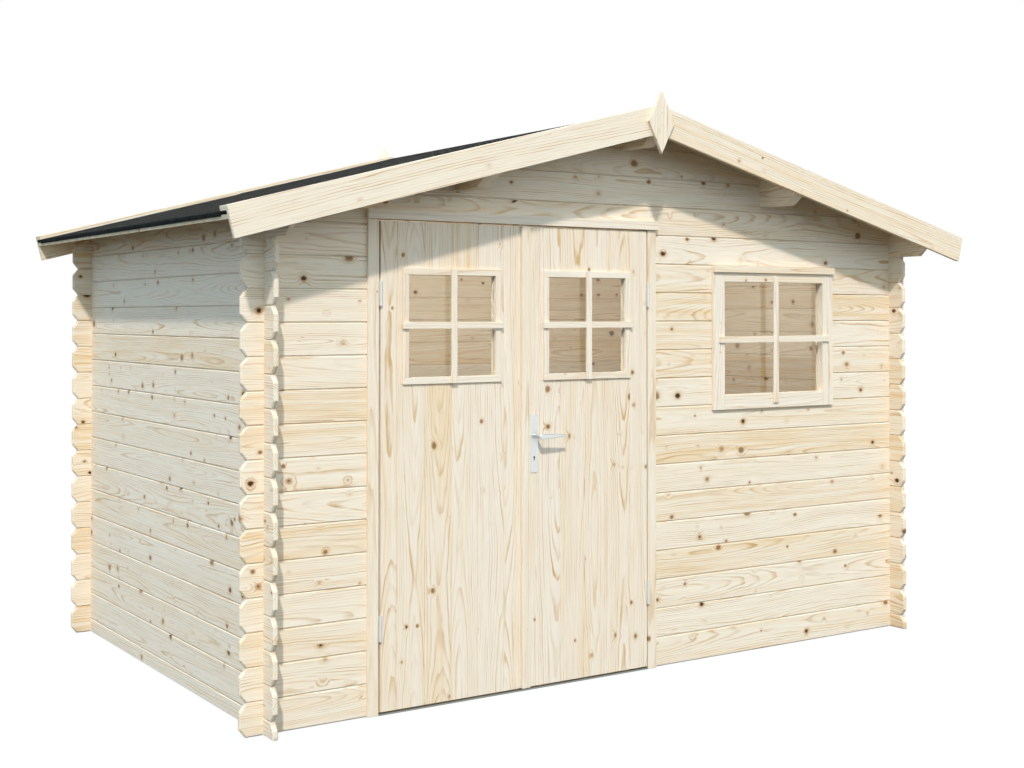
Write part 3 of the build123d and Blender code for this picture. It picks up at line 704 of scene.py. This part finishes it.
draw, stock = random.Random(feltSheet["seed"]), newStock()
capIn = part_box("back_verge_caps")[0].y - feltSheet["capGap"]
base, size = roofBoards["thickness"], feltSheet
field = base + size["field"]
for side in (-1, 1):
    foot, head = base + size["underSeat"], base + size["under"]
    under = [(0.0, foot, False), (0.0, head, False), (eaveLength, head, False), (eaveLength, foot, False)]
    addSheet(stock, side, under, roofLow.y, roofHigh.y, 2, 0.0, draw)
    line = [(0.0, base + size["seat"], False)]
    for i in range(size["steps"] + 1):
        u = (eaveLength - size["eaveRoom"]) * i / size["steps"]
        rise = size["roll"] * math.exp(-(u / size["rollWidth"]) ** 2)
        lap = size["lap"] if u > eaveLength - size["course"] else 0.0
        line.append((u, field + rise - lap, 0 < i < size["steps"]))
    line += [(eaveLength + u, field + w, False) for u, w in size["lipTop"]]
    line += [(eaveLength + u, base + w, False) for u, w in size["lipFoot"]]
    addSheet(stock, side, line, -capIn, capIn, size["lengths"], size["wave"], draw)
makePiece("felt_courses", stock, felt, "shed", "roofing_felt", "roof_felt")

bargeBoards = {"drop": 0.064, "rise": 0.0275, "cap": 0.0165, "gap": 0.0005, "ease": 0.0012,
               "nailRoom": 0.0013, "seed": 71}


# A pair of boards down the slopes of a gable, cut plumb where they meet
def vergePair(name, node, low, high, draw):
    nodeLow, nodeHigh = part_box(node)
    stock = newStock()

    def plumb(u, v, w):
        return (u - v * pitchTan + bargeBoards["gap"] if u < ridgeZone else u), v, w

    for side in (-1, 1):
        origin, down, along, up = slopePlace(side)
        place = (origin + along * nodeLow.y, down, up, along)
        addPlank(stock, box4(0.0, eaveLength, low, high), nodeHigh.y - nodeLow.y, place, draw,
                 easeSize=bargeBoards["ease"], bend=plumb)
    makePiece(name, stock, wood["planedSpruceVerge"], "shed", "trim_boards", node)


for word in ("front", "back"):
    draw, rise = random.Random(bargeBoards["seed"] + len(word)), bargeBoards["rise"]
    vergePair(word + "_barge_pair", word + "_bargeboards", -bargeBoards["drop"], rise, draw)
    vergePair(word + "_cap_pair", word + "_verge_caps", rise, rise + bargeBoards["cap"], draw)
    low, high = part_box(word + "_finial")
    stock = newStock()
    middle, inset = (low.z + high.z) / 2, bargeBoards["nailRoom"]
    outline = [(low.z, 0.0), (middle, high.x), (high.z, 0.0), (middle, low.x)]
    place = (yAxis * (low.y + (inset if word == "front" else 0.0)), zAxis, xAxis, yAxis)
    addPlank(stock, outline, high.y - low.y - inset, place, draw, easeSize=bargeBoards["ease"])
    makePiece(word + "_finial_board", stock, wood["planedSpruceVerge"], "shed", "trim_boards",
              word + "_finial")
print("verges trimmed")

trimEase = 0.0012


def trimPiece(name, stock, body, *nodes):
    makePiece(name, stock, wood["planedSpruceTrim"], body, "trim_boards", *nodes)


def upright(stock, x0, x1, y0, y1, z0, z1, draw, ease=trimEase):
    addPlank(stock, box4(z0, z1, x0, x1), y1 - y0, (yAxis * y0, zAxis, xAxis, yAxis), draw, easeSize=ease)


def crosspiece(stock, x0, x1, y0, y1, z0, z1, draw, ease=trimEase):
    addPlank(stock, box4(x0, x1, z0, z1), y1 - y0, (yAxis * y0, xAxis, zAxis, yAxis), draw, easeSize=ease)


# Boards round an opening, in layers from front to back: its uprights run past if it is tall,
# and otherwise its crosspieces do
def addTrim(stock, x0, x1, z0, z1, layers, tall, draw):
    for y0, y1, wide in layers:
        past, over = (wide, 0.0) if tall else (0.0, wide)
        upright(stock, x0 - wide, x0, y0, y1, z0 - past, z1 + past, draw)
        upright(stock, x1, x1 + wide, y0, y1, z0 - past, z1 + past, draw)
        crosspiece(stock, x0 - over, x1 + over, y0, y1, z0 - wide, z0, draw)
        crosspiece(stock, x0 - over, x1 + over, y0, y1, z1, z1 + wide, draw)


# A cross of bars planted on the trim
def addBars(stock, x0, x1, z0, z1, y, size, draw):
    half = size["bar"] / 2
    barX, barZ, barY = (x0 + x1) / 2, (z0 + z1) / 2 + size["barShift"], y - size["barThick"]
    upright(stock, barX - half, barX + half, barY, y, z0 - size["footLap"], z1 + size["headLap"], draw)
    crosspiece(stock, x0 - size["sideLap"], barX - half, barY, y, barZ - half, barZ + half, draw)
    crosspiece(stock, barX + half, x1 + size["sideLap"], barY, y, barZ - half, barZ + half, draw)


# Jambs: a channel of three boards that clasps the wall, and a stop behind the leaf
doorJambs = {"lap": 0.018, "edge": 0.042, "leafThick": 0.019, "stopGap": 0.006, "seed": 81}
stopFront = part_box("left_door_leaf")[0].y + doorJambs["leafThick"] + doorJambs["stopGap"]
for word, way in (("left", 1), ("right", -1)):
    low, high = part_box(word + "_door_jamb")
    draw, stock = random.Random(doorJambs["seed"] + way), newStock()
    outer, stop = (low.x, high.x) if way > 0 else (high.x, low.x)
    web, edge = outer + way * doorJambs["lap"], outer + way * doorJambs["edge"]
    for a, b, y0, y1 in ((outer, edge, low.y, frontLow.y), (web, edge, frontLow.y, frontHigh.y),
                         (outer, stop, frontHigh.y, high.y), (edge, stop, stopFront, frontHigh.y)):
        upright(stock, min(a, b), max(a, b), y0, y1, low.z, high.z, draw)
    trimPiece(word + "_jamb_boards", stock, "shed", word + "_door_jamb")

doorHead = {"web": 0.016, "endLap": 0.005, "seed": 86}
low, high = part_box("door_head")
draw, stock = random.Random(doorHead["seed"]), newStock()
crosspiece(stock, low.x, high.x, low.y, frontLow.y, low.z, high.z, draw)
crosspiece(stock, doorLeft, doorRight, frontLow.y, frontHigh.y, low.z, low.z + doorHead["web"], draw)
lap = doorHead["endLap"]
crosspiece(stock, low.x + lap, high.x - lap, frontHigh.y, high.y, low.z, high.z, draw)
trimPiece("door_head_boards", stock, "shed", "door_head")

# Front window: trim boards outside and inside, a lining, bars on the trim and a drip board
frontWindow = {"trim": 0.061, "lining": 0.020, "bar": 0.027, "barThick": 0.009, "barShift": -0.0055,
               "footLap": 0.040, "headLap": 0.024, "sideLap": 0.031, "seed": 91}
low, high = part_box("window_frame")
draw, stock = random.Random(frontWindow["seed"]), newStock()
trim = frontWindow["trim"]
opening = (low.x + trim, high.x - trim, low.z + trim, high.z - trim)
layers = ((low.y, frontLow.y, trim), (frontLow.y, frontHigh.y, frontWindow["lining"]),
          (frontHigh.y, high.y, trim))
addTrim(stock, *opening, layers, True, draw)
trimPiece("window_frame_boards", stock, "shed", "window_frame")
stock = newStock()
addBars(stock, *opening, low.y, frontWindow, draw)
trimPiece("window_bars", stock, "shed")
low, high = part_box("window_drip_board")
stock = newStock()
crosspiece(stock, low.x, high.x, low.y, high.y, low.z, high.z, draw)
makePiece("window_drip", stock, wood["planedSpruceVerge"], "shed", "trim_boards", "window_drip_board")
print("frames made")

# Leaves of upright boards, with ledges and a brace behind, a trimmed window and a cross of bars
leafBoards = {
    "cover": 0.112,
    "thickness": doorJambs["leafThick"],
    "vee": 0.0022,
    "edgeRoom": 0.02,  # no seam closer than this to the edge of a leaf
    "ledges": (0.150, 0.690, 1.600),
    "ledge": 0.095,
    "brace": 0.080,
    "inset": 0.040,
    "seam": {"left": -0.797, "right": -0.431},  # where one of the seams lies
    "seed": {"left": 100, "right": 104},
}
leafWindow = {"trim": 0.024, "lining": 0.008, "bar": 0.024, "barThick": 0.009, "barShift": 0.002,
              "footLap": 0.024, "headLap": 0.024, "sideLap": 0.028}


def doorLeaf(word, way):
    size = leafBoards
    low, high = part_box(word + "_door_leaf")
    glassLow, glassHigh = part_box(word + "_door_glass")
    body = word + "_door"
    draw, stock = random.Random(size["seed"][word]), newStock()
    front, back = low.y, low.y + size["thickness"]
    cut = leafWindow["lining"]
    x0, x1, z0, z1 = opening = (glassLow.x, glassHigh.x, glassLow.z, glassHigh.z)
    left, right, bottom, top = x0 - cut, x1 + cut, z0 - cut, z1 + cut
    count = math.ceil((high.x - low.x) / size["cover"])
    seams = [size["seam"][word] + i * size["cover"] for i in range(-count, count + 1)]
    room = size["edgeRoom"]
    edges = [low.x] + [x for x in seams if low.x + room < x < high.x - room] + [high.x]
    place = (yAxis * front, zAxis, xAxis, yAxis)
    for a, b in zip(edges, edges[1:]):

        def lowAt(z):
            return right if bottom < z < top and left <= a < right else a

        def highAt(z):
            return left if bottom < z < top and a < left < b else b

        levels = [x for x in (a, b) if low.x < x < high.x]
        for outline in rowOutlines([low.z, bottom, top, high.z], lowAt, highAt):
            addPlank(stock, outline, size["thickness"], place, draw, levels, size["vee"])
    ends = (low.x + size["inset"], high.x - size["inset"])
    for z in size["ledges"]:
        crosspiece(stock, *ends, back, high.y, z, z + size["ledge"], draw)
    nearEnd, farEnd = ends if way < 0 else ends[::-1]
    foot, head, wide = size["ledges"][0] + size["ledge"], size["ledges"][1], way * size["brace"]
    brace = [(nearEnd, foot), (nearEnd - wide, foot), (farEnd, head), (farEnd + wide, head)]
    slant = Vector((farEnd - nearEnd, 0, head - foot)).normalized()
    side = Vector((-slant.z, 0, slant.x))
    local = [(x * slant.x + z * slant.z, x * side.x + z * side.z) for x, z in brace]
    addPlank(stock, local, high.y - back, (yAxis * back, slant, side, yAxis), draw)
    makePiece(word + "_leaf_boards", stock, wood["planedSpruceDoor"], body, "door_boards",
              word + "_door_leaf")

    low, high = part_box(word + "_door_window_trim")
    stock = newStock()
    trim = leafWindow["trim"]
    layers = ((low.y, front, trim), (front, back, leafWindow["lining"]), (back, high.y, trim))
    addTrim(stock, *opening, layers, False, draw)
    trimPiece(word + "_leaf_trim", stock, body, word + "_door_window_trim")
    stock = newStock()
    addBars(stock, *opening, low.y, leafWindow, draw)
    trimPiece(word + "_leaf_bars", stock, body)


doorLeaf("left", -1)
doorLeaf("right", 1)

# Cover strip, with a lip on the right leaf's edge that fills most of the gap between the leaves
coverStrip = {"ease": 0.002, "lipClear": 0.0012, "lipBack": 0.0012, "lipThick": 0.014, "lipEase": 0.0004,
              "seed": 124}
low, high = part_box("door_cover_strip")
draw, stock = random.Random(coverStrip["seed"]), newStock()
upright(stock, low.x, high.x, low.y, high.y, low.z, high.z, draw, coverStrip["ease"])
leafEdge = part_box("right_door_leaf")[0]
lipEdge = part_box("left_door_leaf")[1].x + coverStrip["lipClear"]
lipFront = leafEdge.y + coverStrip["lipBack"]
upright(stock, lipEdge, leafEdge.x, lipFront, lipFront + coverStrip["lipThick"], low.z, high.z, draw,
        coverStrip["lipEase"])
trimPiece("cover_strip_board", stock, "right_door", "door_cover_strip")
print("door leaves boarded")

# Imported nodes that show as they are
for name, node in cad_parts.items():
    kind = None
    if name.endswith("glass"):
        kind = glass
    elif name.endswith("hinges") or name in ("handle_plates", "door_lever"):
        kind = zinc
    elif name == "door_threshold":
        kind = sillMetal
    if kind:
        node.data.materials.clear()
        node.data.materials.append(kind)

# Lock: a dark dished plug in the keyhole of each plate, its near-black colour painted shade of the hole, the
# inner one as deep as the ledges
lockPlug = {"keyDrop": 0.051, "bore": 0.0038, "slotHalf": 0.0018, "slotLength": 0.0118, "sides": 16,
            "back": 0.0012, "dish": 0.0006, "dishShare": 0.7}


def addPlug(stock, x, z, yFace, yFoot):
    size = lockPlug
    way = 1 if yFoot > yFace else -1
    turn = math.asin(size["slotHalf"] / size["bore"])
    outline = [(-size["slotHalf"], -size["slotLength"]), (size["slotHalf"], -size["slotLength"])]
    for i in range(size["sides"] + 1):
        a = -math.pi / 2 + turn + (math.tau - 2 * turn) * i / size["sides"]
        outline.append((size["bore"] * math.cos(a), size["bore"] * math.sin(a)))
    levels = ((1.0, yFoot), (1.0, yFace), (size["dishShare"], yFace + way * size["dish"]))
    rings = [[Vector((x + u * share, y, z + v * share)) for u, v in outline] for share, y in levels]
    addLoft(stock, rings, way > 0)


low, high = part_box("handle_plates")
leafLow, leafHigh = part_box("right_door_leaf")
keyX, keyZ = (low.x + high.x) / 2, (low.z + high.z) / 2 - lockPlug["keyDrop"]
stock = newStock()
addPlug(stock, keyX, keyZ, low.y + lockPlug["back"], leafLow.y)
addPlug(stock, keyX, keyZ, high.y - lockPlug["back"], leafHigh.y)
makePiece("keyhole_plugs", stock, metal["keyholePaintedShade"], "right_door", "zinc_fittings")

# Nails: shallow domed heads on the bargeboards' feet and down the front finial
nailHeads = {
    "radius": 0.0035,
    "height": 0.0012,
    "sides": 14,
    "dome": ((1.0, 0.0), (0.92, 0.6), (0.55, 0.95)),  # shares of the radius and of the height
    "barge": ((-1.512, 1.757), (-1.512, 1.707), (1.512, 1.757), (1.512, 1.707)),
    "finial": ((0.0, 2.162), (0.0, 2.115)),
}
stock = newStock()
faces = {"barge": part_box("front_bargeboards")[0].y,
         "finial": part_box("front_finial")[0].y + bargeBoards["nailRoom"]}
turns = [math.tau * i / nailHeads["sides"] for i in range(nailHeads["sides"])]
for key, y in faces.items():
    for x, z in nailHeads[key]:
        rings = []
        for share, rise in nailHeads["dome"]:
            radius, out = nailHeads["radius"] * share, y - nailHeads["height"] * rise
            rings.append([Vector((x + radius * math.cos(a), out, z + radius * math.sin(a))) for a in turns])
        addLoft(stock, rings, False)
makePiece("verge_nails", stock, zinc, "shed", "zinc_fittings")
print("fittings finished")

# Stage: pale floor, key light from the upper left, wide warm fills from the front right and from behind,
# cool sky that is dimmer overhead, so pale faces that look up keep their colour, and a lamp inside
stage = {
    "floorSize": 60.0, "floorDrop": 0.001,
    "floorShade": "#343433", "floorPale": "#F3F3F3", "floorWhite": 0.82,
    "key": (0.69, 1.0, -1.09), "keyPower": 2.59, "keyWidth": 2.8, "keyColour": (1.0, 0.957, 0.943),
    "front": (-0.42, 1.0, -0.10), "frontPower": 0.54, "frontWidth": 70.0, "frontColour": (1.0, 0.776, 0.50),
    "rear": (-0.50, -1.0, 0.0), "rearPower": 1.5, "rearWidth": 40.0, "rearColour": (1.0, 0.86, 0.70),
    "sky": (0.640, 0.830, 1.0, 1.0), "skyPower": 1.54, "skyDrop": 0.95,
    "inside": (0.10, -0.45, 1.62), "insideAim": (0.45, 1.0, 1.08), "insideSize": (1.7, 0.4),
    "insidePower": 11.5, "insideColour": (1.0, 0.95, 0.89),
}
pureWhite = (1.0, 1.0, 1.0, 1.0)


# One where the camera looks straight, by a reflection or through glass, zero for light
def seenRays(tree):
    ray = addNode(tree, "ShaderNodeLightPath")
    seen = ray["Is Camera Ray"]
    for kind in ("Is Glossy Ray", "Is Transmission Ray"):
        seen = addNode(tree, "ShaderNodeMath", (seen, ray[kind]), operation="MAXIMUM")[0]
    return seen


floorMesh = bpy.data.meshes.new("floor")
half = stage["floorSize"] / 2
corners = [(x, y, -stage["floorDrop"]) for x, y in box4(-half, half, -half, half)]
floorMesh.from_pydata(corners, [], [(0, 1, 2, 3)])
floor = bpy.data.objects.new("floor", floorMesh)
scene.collection.objects.link(floor)
floor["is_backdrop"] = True
floorMaterial, tree = newTree("paleFloor")
dull = addNode(tree, "ShaderNodeBsdfDiffuse", {"Color": toLinear(stage["floorShade"])})[0]
pale = addNode(tree, "ShaderNodeBsdfDiffuse", {"Color": toLinear(stage["floorPale"])})[0]
white = addNode(tree, "ShaderNodeEmission", {"Color": pureWhite, "Strength": 1.0})[0]
shown = addNode(tree, "ShaderNodeMixShader", (stage["floorWhite"], pale, white))[0]
mixed = addNode(tree, "ShaderNodeMixShader", (seenRays(tree), dull, shown))[0]
addNode(tree, "ShaderNodeOutputMaterial", (mixed,))
floorMesh.materials.append(floorMaterial)


def addLamp(name, kind, heading):
    lamp = bpy.data.lights.new(name, kind)
    lamp.energy = stage[name + "Power"]
    lamp.color = stage[name + "Colour"]
    light = bpy.data.objects.new(name, lamp)
    light.rotation_mode = "QUATERNION"
    light.rotation_quaternion = heading.to_track_quat("-Z", "Y")
    scene.collection.objects.link(light)
    return light


for name in ("key", "front", "rear"):
    addLamp(name, "SUN", Vector(stage[name])).data.angle = math.radians(stage[name + "Width"])
light = addLamp("inside", "AREA", Vector(stage["insideAim"]) - Vector(stage["inside"]))
light.data.shape = "RECTANGLE"
light.data.size, light.data.size_y = stage["insideSize"]
light.location = stage["inside"]
light.visible_camera = light.visible_glossy = light.visible_transmission = False

world = bpy.data.worlds.new("sky")
scene.world = world
world.use_nodes = True
tree = world.node_tree
tree.nodes.clear()
heading = addNode(tree, "ShaderNodeTexCoord")["Generated"]
height = addNode(tree, "ShaderNodeSeparateXYZ", (heading,))["Z"]
zenith = stage["skyPower"] - stage["skyDrop"]
power = addNode(tree, "ShaderNodeMapRange", (height, 0.0, 1.0, stage["skyPower"], zenith))[0]
fill = addNode(tree, "ShaderNodeBackground", {"Color": stage["sky"], "Strength": power})[0]
white = addNode(tree, "ShaderNodeBackground", {"Color": pureWhite, "Strength": 1.0})[0]
mixed = addNode(tree, "ShaderNodeMixShader", (seenRays(tree), fill, white))[0]
addNode(tree, "ShaderNodeOutputWorld", (mixed,))

# Camera as in the photograph: focal length and centre in pixels of its picture
view = {"place": (-3.45375, -5.31973, 1.39296), "yaw": 33.595, "tilt": 0.899, "focal": 1431.04,
        "centre": (517.55, 292.77), "size": (1024, 768), "sensor": 36.0, "farthest": 200.0}
wide, tall = view["size"]
cameraData = bpy.data.cameras.new("camera")
cameraData.sensor_width = view["sensor"]
cameraData.lens = view["focal"] / wide * view["sensor"]
cameraData.shift_x = (wide / 2 - view["centre"][0]) / wide
cameraData.shift_y = (view["centre"][1] - tall / 2) / wide
cameraData.clip_end = view["farthest"]
camera = bpy.data.objects.new("camera", cameraData)
camera.location = view["place"]
camera.rotation_euler = (math.radians(90 + view["tilt"]), 0.0, -math.radians(view["yaw"]))
scene.collection.objects.link(camera)
scene.camera = camera
print("stage set")

low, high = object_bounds()
